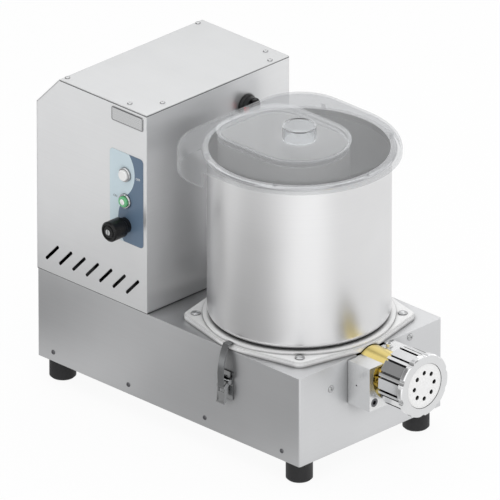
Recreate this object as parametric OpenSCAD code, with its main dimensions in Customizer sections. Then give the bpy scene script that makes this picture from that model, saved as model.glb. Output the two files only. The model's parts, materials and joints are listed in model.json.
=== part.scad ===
// Free-standing electric pasta extruder: a folded steel base on four feet, a control column behind,
// an upright mixing pot under a clear lid, and a brass barrel whose die is held by a fluted ring nut.
// X runs to the machine's right, Y to its back and Z up. The origin is under the middle of the base.

/* [Base] */
// Width of the base and of the column
base_w = 295; // [285:1:315]
// Height of the base above its feet
base_h = 142; // [138:1:160]
// Thickness of the folded steel sheet
sheet_t = 1.5; // [1.2:0.1:2]
// Outer radius of the upright folds
fold_r = 3; // [3:0.5:5]
// Diameter of a rubber foot
foot_d = 40; // [34:1:46]
// Height of a rubber foot
foot_h = 34; // [24:1:44]
// Distance from the sides and ends of the base to a foot's axis
foot_inset = 26; // [25:1:36]

/* [Column] */
// Length of the column from front to back
column_l = 228; // [222:1:240]
// Height of the column above the base
column_h = 320; // [312:1:340]
// Run of the sloping panel behind the roof
slope_l = 48; // [30:1:70]
// Fall of the sloping panel behind the roof
slope_h = 50; // [30:1:70]
// Width of the lips that the roof is screwed to
lip_w = 12; // [8:1:16]
// Number of slanted air slots in each side
vent_count = 7; // [4:1:7]
// Distance between neighbouring air slots
vent_pitch = 27.8; // [20:0.1:28]
// Width of an air slot
vent_w = 5; // [3:0.5:8]
// Length of an air slot, measured along its slant
vent_l = 38.8; // [24:0.1:44]
// Slant of an air slot above the level
vent_tilt = 46.9; // [30:0.1:60]
// Height of the slots' middle above the base
vent_up = 34.3; // [26:0.1:50]
// Distance from the back of the column to the middle of the last slot
vent_back = 31.3; // [24:0.1:36]

/* [Control panel] */
// Width of the two-tone label
panel_w = 68; // [64:1:76]
// Height of the two-tone label
panel_h = 142.6; // [138:0.1:150]
// Thickness of the label
panel_t = 0.6; // [0.4:0.1:1]
// Corner radius of the label
panel_r = 6; // [3:0.5:9]
// Distance from the column's front to the label
panel_in = 7.3; // [6:0.1:12]
// Distance from the roof down to the label
panel_down = 74.4; // [70:0.1:80]
// Distance from the label's front edge to the controls' axes
control_in = 35.7; // [33:0.1:38]
// Distance from the label's top to the OFF button
off_down = 33.6; // [28:0.1:38]
// Distance from the label's top to the ON button
on_down = 76.1; // [68:0.1:80]
// Distance from the label's top to the turning knob
knob_down = 115.1; // [110:0.1:118]
// Outer diameter of a button's bezel
bezel_d = 23; // [21:0.5:26]
// Height of a button's bezel
bezel_h = 4; // [3:0.5:6]
// Diameter of a button's cap
cap_d = 17; // [14:0.5:18]
// Travel of a button
button_travel = 2.5; // [1:0.1:3]
// Diameter of the turning knob
knob_d = 31; // [26:1:36]
// Length of the turning knob
knob_l = 36; // [28:1:40]
// Width of the blank nameplate
plate_w = 63.7; // [50:0.1:70]
// Height of the blank nameplate
plate_h = 21; // [14:0.5:26]
// Distance from the roof down to the nameplate
plate_down = 7; // [6:0.5:12]

/* [Selector] */
// Distance of the selector to the right of the middle
selector_x = 59; // [50:1:70]
// Distance from the roof down to the selector's axis
selector_down = 50; // [40:1:60]
// Diameter of the selector's fixed collar
selector_d = 34; // [30:1:38]
// Height of the fixed collar
collar_h = 6; // [4:0.5:7]
// Height of the turning cap
selector_h = 12.6; // [9:0.1:12.6]

/* [Pot] */
// Height of the pot from its floor to its rim
pot_h = 266; // [230:1:280]
// Thickness of the pot's wall and floor
pot_t = 2; // [1.5:0.1:3]
// Radius at the bottom of the pot
pot_r = 12; // [8:1:16]
// Width of the rolled rim beyond the pot's wall
rim_out = 8; // [7.5:0.1:8.5]
// Diameter of the bead in the rolled rim
bead_d = 7; // [5:0.5:8]
// Distance from the round part of the polished flange to the base's sides
flange_margin = 1.5; // [1:0.1:3]
// Distance from the flange to the base's front
flange_front = 0.7; // [0.5:0.1:4]
// Width of the flange beyond the pot's wall
flange_shelf = 11; // [10:0.5:13]
// Thickness of the flange
flange_t = 8; // [7:0.5:9]
// Height of the ring that the pot stands on, above the flange
ring_h = 3; // [2:0.5:4]
// Distance from the base's sides to a corner screw
corner_margin = 40.5; // [38:0.5:42]
// Radius of the flange's corner lobes
lobe_r = 17; // [14:0.5:18]

/* [Lid] */
// Distance from the pot's rim out to the lid's round front
lid_out = 7.6; // [7:0.1:9]
// Distance that the lid's straight back lies nearer to the pot's axis than its round front
lid_flat = 3.3; // [2:0.1:8]
// Gap between the lid's back and the selector, which the lid rises past
lid_clear = 1.1; // [0.8:0.1:6]
// Radius of the lid's rear corners
lid_corner = 78; // [60:1:90]
// Thickness of the clear moulding
clear_t = 3; // [2.5:0.1:4]
// Radius of the lid's top edge
lid_edge_r = 12; // [8:1:14]
// Height of the lid's top above the rim
lid_up = 10; // [9:0.5:14]
// Depth of the skirt round the front, measured from the lid's top
skirt_h = 18; // [16:0.5:22]
// Depth of the skirt round the rear ears, measured from the lid's top
ear_h = 43; // [30:0.5:50]
// Distance from the pot's axis back to the ears
ear_in = 50; // [30:1:80]
// Radius of the feed chute's round front
chute_r = 74; // [66:1:80]
// Distance from the lid's back to the chute's straight back
chute_in = 26.3; // [24:0.1:34]
// Radius of the chute's rear corners
chute_corner = 45; // [35:1:55]
// Depth of the chute below the rim
chute_h = 110; // [60:1:120]
// Diameter of the clear knob on the hatch
hatch_knob_d = 50; // [40:1:60]
// Height of the clear knob on the hatch
hatch_knob_h = 21; // [16:1:30]

/* [Nose] */
// Height of the barrel's axis above the underside of the base
barrel_up = 119; // [117:0.5:119.5]
// Outer diameter of the brass barrel
barrel_d = 57; // [55:0.5:58]
// Bore of the barrel
barrel_bore = 46; // [42:0.5:47]
// Length of barrel in front of the base
barrel_reach = 81; // [79:0.5:82]
// Width of the front block
block_w = 96; // [94:1:110]
// Length of the front block
block_l = 45; // [42:1:48]
// Height of the front block below the barrel's axis
block_down = 48; // [46:1:56]
// Height of the front block above the barrel's axis
block_rise = 21; // [19:0.5:22]
// Diameter of the round pocket in the block's face
pocket_d = 81; // [78:1:84]
// Depth of the round pocket
pocket_h = 10; // [8:0.5:12]
// Thickness of the barrel's flange in that pocket
barrel_flange_t = 6; // [5:0.5:7]
// Distance from the barrel's axis to a flange bolt
flange_bolt_x = 33.8; // [33.7:0.1:35]
// Diameter of a socket head bolt's head
bolt_head_d = 13; // [11:0.5:14]
// Distance from the barrel's axis out to a block bolt
block_bolt_x = 38; // [36:0.5:39]
// Distance from the barrel's axis down to a block bolt
block_bolt_down = 36; // [34:0.5:38]

/* [Die and ring nut] */
// Length of the barrel that the ring nut is screwed on to
nut_grip = 22.5; // [21:0.5:25]
// Length of the ring nut
nut_l = 51.8; // [50:0.1:56]
// Distance across the flats of the nut's body
nut_af = 88; // [87:0.5:92]
// Largest diameter of the nut's body
nut_d = 91; // [90:0.5:95]
// Diameter of the scalloped front rim
nut_rim_d = 97.4; // [96:0.1:102]
// Length of the scalloped front rim
nut_rim_l = 10; // [7:0.5:12]
// Number of lands round the nut
land_count = 10; // [8:1:12]
// Width of a flute
flute_w = 3.4; // [2:0.1:4]
// Diameter of the die's shoulder inside the nut
die_d = 77; // [75:0.5:78]
// Thickness of the die's shoulder
die_shoulder_t = 14; // [10:0.5:16]
// Diameter of the die's face in the nut's mouth
die_face_d = 69.2; // [66:0.1:71]
// Diameter of a hole in the die
die_hole_d = 7; // [6:0.1:8]
// Diameter of the circle that the holes lie on
die_circle_d = 41; // [36:0.5:42]
// Number of holes in the die
die_count = 8; // [6:1:9]

/* [Drive] */
// Diameter of the shaft that drives the screw
shaft_d = 20; // [18:0.5:22]
// Diameter of the screw's core
core_d = 24; // [23:0.5:28]
// Pitch of the screw
screw_pitch = 36; // [30:1:44]
// Angle that the flight's land covers
flight_angle = 44; // [30:1:60]
// Diameter of the upright mixing shaft
mixer_shaft_d = 18; // [15:0.5:20]
// Distance between a mixing arm's end and the pot's wall
mixer_clear = 15; // [11:1:30]
// Height of a mixing paddle
paddle_h = 34; // [26:1:44]
// Diameter of the motor
motor_d = 124; // [116:1:130]
// Height of the motor
motor_h = 156; // [130:1:170]
// Distance of the motor's axis to the right of the middle
motor_x = 50; // [46:1:54]
// Distance from the column's front to the motor's axis
motor_in = 82; // [78:1:90]
// Number of blades on the cooling fan
blade_count = 8; // [6:1:10]

/* [Latches] */
// Width of a latch's claw
claw_w = 11.4; // [9:0.2:13]
// Distance from the flange's top down to the lever's pivot
latch_down = 56; // [50:1:60]
// Distance from the base's side out to the lever's pivot
pivot_out = 6; // [5.7:0.1:7]
// Distance from the lever's pivot out to the claw's pivot
claw_pivot_out = 6; // [5:0.2:7]
// Distance from the lever's pivot down to the claw's pivot
claw_pivot_down = 8; // [7:0.2:9]
// Length of the lever below its pivot
lever_l = 30; // [24:0.5:32]
// Thickness of the latch's sheet
latch_t = 2; // [1.5:0.1:2.2]

/* [Hidden] */

$fn = 64;
// How far a cut runs past the surface it opens
overrun = 1;
// Gap between pieces that move past each other
gap = 0.3;
// Radial gap of a shaft or pin in its bore
running = 0.05;

// Plan: the flange's width follows the base's, the pot and the lid follow the flange, and the base is
// as long as the pot, the lid, the selector behind it and the column make it
flange_r = base_w / 2 - flange_margin;
pot_outer_r = flange_r - flange_shelf;
pot_inner_r = pot_outer_r - pot_t;
pot_in = flange_r + flange_front;
corner_in = base_w / 2 - corner_margin;
lid_r = pot_outer_r + rim_out + lid_out;
lid_back = lid_r - lid_flat;
chute_back = lid_back - chute_in;
base_l = pot_in + lid_back + lid_clear + selector_h + gap + collar_h + column_l;

// Main planes
base_z = foot_h;
top_z = base_z + base_h;
roof_z = top_z + column_h;
front_y = -base_l / 2;
back_y = base_l / 2;
column_y = back_y - column_l;
side_x = base_w / 2;
inner_x = side_x - sheet_t;
pot_y = front_y + pot_in;
nose_z = base_z + barrel_up;

// Edges of the folded roof, set in from its outer skin by s
slope_length = sqrt(slope_l * slope_l + slope_h * slope_h);
function roof_back(s) = back_y - slope_l - s * (slope_length - slope_l) / slope_h;
function rear_top(s) = roof_z - slope_h - s * (slope_length - slope_h) / slope_l;
function column_outline(s, front, low) = [
  [front, low], [back_y - s, low], [back_y - s, rear_top(s)], [roof_back(s), roof_z - s],
  [front, roof_z - s]
];

// Foot: its foot is narrower by a bevel, and its fixing screw sits in a well
foot_bevel = foot_d / 16;
foot_well_r = foot_d / 5;
foot_well_h = foot_h / 2;
foot_screw_r = foot_d / 12;
foot_places = [side_x - foot_inset, base_l / 2 - foot_inset];

// Control places, measured on the left side
label_y = column_y + panel_in;
label_z = roof_z - panel_down;
control_y = label_y + control_in;
off_z = label_z - off_down;
on_z = label_z - on_down;
knob_z = label_z - knob_down;
// Middle and radius of the label's two waves, as shares of its width, height and width
upper_wave_shares = [0.94, 0.215, 0.69];
lower_wave_shares = [-0.1, 0.755, 0.853];
strip_share = 0.55;
cap_r = cap_d / 2;
cap_hole_r = cap_r + gap;
cap_dome_share = 0.12;
plate_t = panel_t * 2;
knob_stem_r = knob_d / 10;
knob_neck_r = knob_d * 0.39;
knob_neck_l = knob_l / 4;
knob_groove_r = knob_d * 0.36;
knob_groove_w = knob_d / 16;
knob_insert_r = knob_d / 7;
knob_round = knob_d / 16;
// Switch box behind the label
box_wall = 4 * sheet_t;
box_l = 2 * (cap_hole_r + box_wall);
box_depth = 50;
stem_in = box_depth * 0.6;
selector_z = roof_z - selector_down;
selector_body_r = selector_d / 3;
selector_body_l = selector_d * 0.9;
selector_stem_r = selector_d / 10;
selector_r = selector_d / 2 - collar_h / 3;
grip_w = selector_d / 4;

// Pot and flange
flange_z = top_z + flange_t;
ring_z = flange_z + ring_h;
rim_z = ring_z + pot_h;
bead_r = bead_d / 2;
bead_x = pot_outer_r + rim_out - bead_r;
flange_steps = 4;
flange_edge_r = flange_t / 2;
ring_margin = 4.5;
ring_outer_r = flange_r - ring_margin;
ring_inner_r = pot_outer_r - pot_r - flange_t;
screw_r = flange_t * 0.4;
screw_head_r = screw_r * 2.2;
screw_head_h = screw_r * 1.2;
corner_reach = corner_in * sqrt(2);
// Angle between a lobe's diagonal and the points where the straight edges touch the circles
lobe_angle = acos((flange_r - lobe_r) / corner_reach);

// Lid, chute and hatch
lid_z = rim_z + lid_up;
hatch_gap = 0.5;
hatch_lap = clear_t * 0.7;
hatch_lip_h = clear_t * 1.5;
chute_t = pot_t;
rest_count = 6;
rest_w = clear_t * 3;

// Barrel and drive, as distances in front of the base unless they say otherwise
barrel_r = barrel_d / 2;
slot_r = barrel_r + overrun;
// Right-angle gearbox under the pot, centred on the pot's axis
gearbox_l = 71;
gearbox_w = 72;
gearbox_down = 41;
boss_r = 24;
gearbox_front = -pot_in + gearbox_l / 2;
barrel_rear = gearbox_front;
// Window through the pot's floor and the top of the barrel, and the neck round it, which reaches from the
// gearbox to the inside of the flange
feed_w = 36;
throat_wall = 6;
throat_w = 2 * (barrel_r - overrun);
feed_back = gearbox_front + throat_wall + overrun;
feed_front = sqrt(ring_inner_r * ring_inner_r - throat_w * throat_w / 4) - throat_wall - 4 * gap - pot_in;
mixer_shaft_r = mixer_shaft_d / 2;
shaft_r = shaft_d / 2;
mixer_shaft_gap = 3;
screw_r_outer = barrel_bore / 2 - gap - running;
screw_tip = barrel_reach - gap * 10;
screw_rear = feed_back - gap * 6;
slices_per_turn = 20;
// Places of the flight's points round its land, as shares of the angle that it covers
flight_root_shares = [-0.5, 0.5];
flight_tip_shares = [0.4, 0.2, 0, -0.2, -0.4];
flight_points = len(flight_root_shares) + len(flight_tip_shares);
// Front block: the wall over its pocket, the bolts through it and the clamp screw in its top
pocket_r = pocket_d / 2;
pocket_lid = 3;
bolt_r = bolt_head_d / 3.2;
bolt_head_r = bolt_head_d / 2;
bolt_head_h = bolt_r * 2;
barrel_bolt_r = bolt_r * 0.75;
barrel_bolt_head_r = bolt_head_r * 0.75;
clamp_x = barrel_r * 0.95;
clamp_in = block_l / 4;
clamp_h = block_rise / 5;

// Die and ring nut
nut_in = barrel_reach - nut_grip;
nut_front = nut_in + nut_l;
die_front = nut_front - overrun;
die_rear = barrel_reach + gap;
shoulder_front = die_rear + die_shoulder_t;
chamber_r = die_d / 2 + 2 * gap;
flute_depth = nut_d / 2 - chamber_r - sheet_t;
scallop_r = nut_rim_d / 13;
scallop_out = nut_rim_d / 2 + scallop_r * 0.62;
// Angle of the nut as the photo shows it, done up tight
nut_turn = 14.5;
flute_spread = 360 / land_count / 7;
rim_bevel = nut_rim_l / 6;

// Back drive: a worm gearbox on a stand carries the upright motor
motor_y = column_y + motor_in;
motor_r = motor_d / 2;
stand_z = base_z + sheet_t;
worm_box = [140, 72, 102];
worm_z = nose_z - worm_box.z / 2;
worm_top_z = worm_z + worm_box.z;
stand_t = 4;
worm_x = motor_x - worm_box.x + worm_box.y / 2;
worm_opening = worm_box.y + 2 * throat_wall + 2 * stand_t;
motor_foot_t = 5;
motor_z = worm_top_z + motor_foot_t;
motor_top_z = motor_z + motor_h;
motor_bore_r = mixer_shaft_r + running;
fin_h = motor_d / 50;
fin_w = motor_d / 40;
fin_count = 24;
// Fan on the rotor's upper end, with room above and below it in its cover
fan_r = motor_r * 0.84;
fan_h = 22;
fan_clear = 5;
cover_h = fan_h + 2 * fan_clear;
// Rear end of the screw's shaft and the bearing half-way along it, measured back from the base's front
shaft_rear = base_l - column_l + motor_in - worm_box.y / 4;
bearing_back = 36;
bearing_in = pot_in + gearbox_l / 2 + throat_wall + bearing_back;
bearing_l = 30;
bearing_r = 20;

// Latch, in its own frame: x runs out of the base's side and y up from the flange's top
latch_y = -latch_down;
pivot_r = latch_t;
cheek_r = pivot_out - latch_t - 2 * gap;
claw_pin_r = latch_t * 0.75;
claw_x = pivot_out + claw_pivot_out;
claw_y = latch_y - claw_pivot_down;
cheek_in = claw_w / 2 + gap;
ear_out = cheek_in + latch_t + gap;
latch_plate_w = 2 * (ear_out + latch_t) + latch_t;
hook_y = gap + latch_t / 2;
hook_x = claw_pivot_out * 0.6;
hook_end = -flange_edge_r;
claw_sag = claw_w / 2;
eye_r = claw_pin_r + latch_t * 0.9;

module rounded_2d(w, l, r) {
  square([w - 2 * r, l], center = true);
  square([w, l - 2 * r], center = true);
  for (x = [-1, 1], y = [-1, 1])
    translate([x * (w / 2 - r), y * (l / 2 - r)]) circle(r);
}

// A bar with round ends between two points
module link_2d(p, q, r) {
  d = q - p;
  translate(p) circle(r);
  translate(q) circle(r);
  translate(p) rotate(atan2(d.y, d.x)) translate([0, -r]) square([norm(d), 2 * r]);
}

// Round in front, straight at the sides and back, with round rear corners
module d_2d(r, back, corner) {
  circle(r);
  translate([-r, 0]) square([2 * r, back - corner]);
  translate([corner - r, 0]) square([2 * (r - corner), back]);
  for (x = [-1, 1]) translate([x * (r - corner), back - corner]) circle(corner);
}

// Extrudes a side view, drawn as Y and Z, across the machine
module across(w) rotate([90, 0, 90]) linear_extrude(w, center = true) children();

// Places a piece on the barrel's axis: its z runs forward from the base's front and its y up
module on_nose(ahead) translate([0, front_y - ahead, nose_z]) rotate([90, 0, 0]) children();

// Places a piece on the left side: its z runs out of the column and its x up
module on_left(y, z, out = 0) translate([-side_x - out, y, z]) rotate([0, -90, 0]) children();

// Places a piece on the front of the column: its z runs forward and its y up
module on_column(out) translate([selector_x, column_y - out, selector_z]) rotate([90, 0, 0]) children();

// Places a piece over the pot's axis at height z
module on_pot(z) translate([0, pot_y, z]) children();

// Puts a latch piece on the right side, or on the left if side is negative
module latch_frame(side)
  mirror([side < 0 ? 1 : 0, 0, 0]) translate([side_x, pot_y, flange_z]) rotate([90, 0, 0]) children();

module tube_cut(r, h) translate([0, 0, -overrun]) cylinder(r = r, h = h + 2 * overrun);

// The barrel lies in this slot through the base's front and top
module barrel_slot() {
  on_nose(gearbox_front - gap) cylinder(r = slot_r, h = overrun - gearbox_front + gap);
  translate([-slot_r, front_y - overrun, nose_z])
    cube([2 * slot_r, overrun - gearbox_front + gap, flange_z - nose_z - flange_t + overrun]);
}

module screw_places() for (x = [-1, 1], y = [-1, 1]) translate([x * corner_in, y * corner_in]) children();

// Folded box, open below, with holes for the barrel, the gearboxes, the screws and the cable entry
module base_housing() {
  color("lightgray") difference() {
    translate([0, 0, base_z]) linear_extrude(base_h) rounded_2d(base_w, base_l, fold_r);
    translate([0, 0, base_z - overrun]) linear_extrude(base_h - sheet_t + overrun)
      rounded_2d(base_w - 2 * sheet_t, base_l - 2 * sheet_t, fold_r - sheet_t / 2);
    barrel_slot();
    on_pot(top_z - sheet_t) {
      tube_cut(boss_r + gap, sheet_t);
      screw_places() tube_cut(screw_r + gap / 2, sheet_t);
    }
    translate([worm_x - stand_t, motor_y - worm_opening / 2, top_z - sheet_t - overrun])
      cube([worm_box.x + 2 * stand_t, worm_opening, sheet_t + 2 * overrun]);
    for (x = [-1, 1]) on_nose(-sheet_t) translate([x * block_bolt_x, -block_bolt_down])
      tube_cut(bolt_r + gap / 2, sheet_t);
    translate(gland_place) rotate([90, 0, 0]) tube_cut(gland_r + gap, sheet_t);
  }
}

module bottom_plate() {
  color("silver") translate([0, 0, base_z]) linear_extrude(sheet_t) difference() {
    rounded_2d(base_w - 2 * sheet_t, base_l - 2 * sheet_t, fold_r);
    for (x = [-1, 1], y = [-1, 1]) translate([x * foot_places.x, y * foot_places.y]) circle(foot_screw_r);
    for (i = [-2 : 2]) translate([motor_x + i * vent_pitch, motor_y])
      link_2d([0, -vent_l], [0, vent_l], vent_w / 2);
  }
}

module foot(x, y) {
  color([0.1, 0.1, 0.1]) translate([x * foot_places.x, y * foot_places.y]) rotate_extrude() polygon([
    [foot_well_r, 0], [foot_d / 2 - foot_bevel, 0], [foot_d / 2, foot_bevel], [foot_d / 2, foot_h],
    [foot_screw_r, foot_h], [foot_screw_r, foot_well_h], [foot_well_r, foot_well_h]
  ]);
}
module foot_front_left() foot(-1, -1);
module foot_front_right() foot(1, -1);
module foot_rear_left() foot(-1, 1);
module foot_rear_right() foot(1, 1);

// Cable entry low in the back of the base
gland_r = 9;
gland_hex_r = 14;
gland_hex_h = 5;
gland_nut_h = 13;
gland_place = [-side_x + base_h / 2, back_y, base_z + base_h / 3];
module cable_gland() {
  color([0.12, 0.12, 0.12]) translate(gland_place) rotate([-90, 0, 0]) difference() {
    union() {
      translate([0, 0, -sheet_t - gland_hex_h]) cylinder(r = gland_r, h = sheet_t + gland_hex_h);
      cylinder(r = gland_hex_r, h = gland_hex_h, $fn = 6);
      cylinder(r = gland_r + sheet_t, h = gland_hex_h + gland_nut_h / 2);
      translate([0, 0, gland_hex_h + gland_nut_h / 2])
        cylinder(r1 = gland_r + sheet_t, r2 = gland_r, h = gland_nut_h / 2);
    }
    translate([0, 0, -sheet_t - gland_hex_h - overrun])
      cylinder(r = gland_r / 2, h = sheet_t + 2 * gland_hex_h + gland_nut_h + 2 * overrun);
  }
}

module vents() {
  for (i = [0 : vent_count - 1])
    translate([back_y - vent_back - i * vent_pitch, top_z + vent_up]) rotate(-vent_tilt)
      link_2d([-(vent_l - vent_w) / 2, 0], [(vent_l - vent_w) / 2, 0], vent_w / 2);
}

// Front and sides folded from one sheet, and the lips that the roof and the rear panel are screwed to
module column_housing() {
  color("gainsboro") difference() {
    across(base_w) polygon(column_outline(sheet_t, column_y, top_z));
    across(base_w - 2 * sheet_t) polygon([
      [column_y + sheet_t, top_z - overrun], [back_y + overrun, top_z - overrun],
      [back_y + overrun, roof_z + overrun], [column_y + sheet_t, roof_z + overrun]
    ]);
    across(base_w + 2 * overrun) vents();
    on_left(control_y, off_z, -sheet_t) tube_cut(cap_hole_r, sheet_t);
    on_left(control_y, on_z, -sheet_t) tube_cut(cap_hole_r, sheet_t);
    on_left(control_y, knob_z, -sheet_t) tube_cut(knob_stem_r + gap, sheet_t);
    on_column(-sheet_t) tube_cut(selector_body_r + gap / 2, sheet_t);
  }
  color("gainsboro") difference() {
    across(base_w - 2 * sheet_t) difference() {
      polygon(column_outline(sheet_t, column_y + sheet_t, top_z));
      polygon(column_outline(2 * sheet_t, column_y, top_z - overrun));
    }
    across(base_w - 2 * sheet_t - 2 * lip_w) polygon(column_outline(0, column_y, top_z - overrun));
  }
}

module column_roof() {
  color("whitesmoke") across(base_w) polygon([
    [column_y, roof_z - sheet_t], [column_y, roof_z], [roof_back(0), roof_z], [back_y, rear_top(0)],
    [back_y - sheet_t, rear_top(sheet_t)], [roof_back(sheet_t), roof_z - sheet_t]
  ]);
}

// Flat rear panel with rows of air slots on both sides
louvre_rows = 6;
module rear_panel() {
  color("lightgray") difference() {
    translate([-side_x, back_y - sheet_t, top_z]) cube([base_w, sheet_t, rear_top(sheet_t) - top_z]);
    for (i = [0 : louvre_rows - 1], x = [-1, 1])
      translate([x * base_w / 5, back_y + overrun, top_z + vent_up + i * vent_pitch / 2])
        rotate([90, 0, 0]) linear_extrude(sheet_t + 2 * overrun)
          link_2d([-vent_l, 0], [vent_l, 0], vent_w / 2);
  }
}

module label_2d() translate([panel_w / 2, -panel_h / 2]) rounded_2d(panel_w, panel_h, panel_r);

module wave_2d(shares)
  translate([shares[0] * panel_w, -shares[1] * panel_h]) circle(shares[2] * panel_w);

module dark_2d() {
  difference() {
    intersection() {
      label_2d();
      union() {
        translate([0, -panel_h]) square([strip_share * panel_w, panel_h]);
        wave_2d(lower_wave_shares);
      }
    }
    wave_2d(upper_wave_shares);
  }
}

// Lays a drawing on the left side: its x runs back from the label's front edge and its y up
module on_label(t) {
  translate([-side_x - t, label_y, label_z]) rotate([90, 0, 90]) difference() {
    linear_extrude(t) children();
    for (down = [off_down, on_down]) translate([control_in, -down]) tube_cut(cap_hole_r, t);
    translate([control_in, -knob_down]) tube_cut(knob_stem_r + gap, t);
  }
}

module label_light() {
  color([0.74, 0.82, 0.86]) on_label(panel_t) difference() {
    label_2d();
    dark_2d();
  }
}
module label_dark() color([0.34, 0.42, 0.52]) on_label(panel_t) dark_2d();

module nameplate() {
  color([0.8, 0.8, 0.8])
    translate([-side_x - plate_t, label_y + plate_w / 2, roof_z - plate_down - plate_h / 2])
      rotate([90, 0, 90]) linear_extrude(plate_t) rounded_2d(plate_w, plate_h, panel_r / 4);
}

module bezel(z) {
  color("silver") on_left(control_y, z, panel_t) rotate_extrude() polygon([
    [cap_hole_r, 0], [bezel_d / 2, 0], [bezel_d / 2, bezel_h / 2],
    [bezel_d / 2 - bezel_h / 4, bezel_h], [cap_hole_r, bezel_h]
  ]);
}
module off_bezel() bezel(off_z);
module on_bezel() bezel(on_z);

// A button's cap: a short dome on a straight plunger that runs into the switch box
module button(z) {
  on_left(control_y, z, panel_t + bezel_h) {
    translate([0, 0, -bezel_h - panel_t - sheet_t - box_depth / 4])
      cylinder(r = cap_r, h = bezel_h + panel_t + sheet_t + box_depth / 4 + button_travel);
    translate([0, 0, button_travel])
      cylinder(r1 = cap_r, r2 = cap_r * (1 - cap_dome_share), h = cap_r * cap_dome_share);
  }
}
module off_button() color("white") button(off_z);
module on_button() color([0.45, 0.75, 0.5]) button(on_z);

module knob() {
  color([0.08, 0.08, 0.08]) on_left(control_y, knob_z, panel_t) difference() {
    union() {
      translate([0, 0, -panel_t - sheet_t - stem_in])
        cylinder(r = knob_stem_r, h = stem_in + sheet_t + panel_t + knob_neck_l);
      translate([0, 0, gap]) cylinder(r = knob_neck_r, h = knob_neck_l);
      translate([0, 0, knob_neck_l]) rotate_extrude() polygon([
        [0, 0], [knob_d / 2 - knob_round, 0], [knob_d / 2, knob_round],
        [knob_d / 2, knob_l - knob_neck_l - knob_round],
        [knob_d / 2 - knob_round, knob_l - knob_neck_l], [0, knob_l - knob_neck_l]
      ]);
    }
    translate([0, 0, knob_l - knob_groove_w]) difference() {
      cylinder(r = knob_groove_r, h = knob_groove_w + overrun);
      tube_cut(knob_groove_r - knob_groove_w, knob_groove_w + overrun);
    }
    translate([0, 0, knob_l - knob_round]) cylinder(r = knob_insert_r, h = knob_round + overrun);
  }
}

module knob_insert() {
  color("silver") on_left(control_y, knob_z, panel_t + knob_l - knob_round) difference() {
    cylinder(r = knob_insert_r, h = knob_round * 1.5);
    translate([-knob_insert_r - overrun, -knob_round / 4, knob_round])
      cube([2 * (knob_insert_r + overrun), knob_round / 2, knob_round + overrun]);
  }
}

// Housing of the contacts behind the label
module switch_box() {
  color([0.2, 0.2, 0.22]) difference() {
    translate([-inner_x, control_y - box_l / 2, knob_z - box_l / 2])
      cube([box_depth, box_l, off_z - knob_z + box_l]);
    for (z = [off_z, on_z])
      on_left(control_y, z, -sheet_t - box_depth / 2) cylinder(r = cap_hole_r, h = box_depth / 2 + overrun);
    on_left(control_y, knob_z, -sheet_t - box_depth * 0.8)
      cylinder(r = knob_stem_r + running, h = box_depth * 0.8 + overrun);
  }
}

module selector_collar() {
  color([0.1, 0.1, 0.1]) on_column(0) difference() {
    union() {
      rotate_extrude() polygon([
        [0, 0], [selector_d / 2, 0], [selector_d / 2, collar_h / 2],
        [selector_d / 2 - collar_h / 4, collar_h], [0, collar_h]
      ]);
      translate([0, 0, -sheet_t - selector_body_l])
        cylinder(r = selector_body_r, h = selector_body_l + sheet_t);
    }
    translate([0, 0, -selector_body_l / 2])
      cylinder(r = selector_stem_r + running, h = selector_body_l);
  }
}

// Slot for the red mark in the cap's left edge
module mark_slot(play)
  translate([-selector_d, -grip_w / 2 - play, collar_h + gap + selector_h / 4 - play])
    cube([selector_d - grip_w, grip_w + 2 * play, selector_h]);

module selector_mark() {
  color([0.85, 0.1, 0.12]) on_column(0) intersection() {
    mark_slot(0);
    translate([0, 0, collar_h]) cylinder(r = selector_r, h = gap + selector_h * 0.6);
  }
}

module selector_cap() {
  color([0.06, 0.06, 0.06]) on_column(0) difference() {
    union() {
      translate([0, 0, -selector_body_l / 4])
        cylinder(r = selector_stem_r, h = selector_body_l / 4 + collar_h + 2 * gap);
      translate([0, 0, collar_h + gap]) cylinder(r = selector_r, h = selector_h * 0.6);
      translate([0, 0, collar_h + gap]) intersection() {
        cylinder(r1 = selector_r, r2 = selector_r - overrun, h = selector_h);
        translate([-grip_w / 2, -selector_d / 2, 0]) cube([grip_w, selector_d, selector_h]);
      }
    }
    mark_slot(running);
  }
}

// Outline of the polished flange: a circle with four corner lobes and straight edges between them
module flange_2d(inset) {
  big = flange_r - inset;
  small = lobe_r - inset;
  up = [cos(lobe_angle), sin(lobe_angle)];
  down = [cos(lobe_angle), -sin(lobe_angle)];
  circle(big);
  for (turn = [45 : 90 : 315]) rotate(turn) {
    translate([corner_reach, 0]) circle(small);
    // the straight edges lie a running gap inside the circles, so that they cross and don't just touch
    polygon([
      [0, 0], (big - running) * down, [corner_reach, 0] + (small - running) * down,
      [corner_reach, 0] + (small - running) * up, (big - running) * up
    ]);
  }
}

module pot_flange() {
  color("white") difference() {
    on_pot(top_z) union() {
      for (i = [1 : flange_steps])
        linear_extrude(flange_t - flange_edge_r + flange_edge_r * sin(90 * i / flange_steps))
          flange_2d(flange_edge_r * (1 - cos(90 * (i - 1) / flange_steps)));
      cylinder(r = ring_outer_r, h = flange_t + ring_h);
    }
    on_pot(top_z) {
      tube_cut(ring_inner_r, flange_t + ring_h);
      screw_places() tube_cut(screw_r + gap / 2, flange_t);
    }
    on_nose(gearbox_front) cylinder(r = slot_r, h = -gearbox_front + 2 * overrun);
  }
}

module flange_screws() {
  color("silver") on_pot(flange_z) screw_places() {
    translate([0, 0, -flange_t - 2 * sheet_t]) cylinder(r = screw_r, h = flange_t + 2 * sheet_t);
    intersection() {
      translate([0, 0, screw_head_h - screw_head_r * 1.6]) sphere(r = screw_head_r * 1.6);
      cylinder(r = screw_head_r, h = screw_head_h);
    }
  }
}

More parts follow.
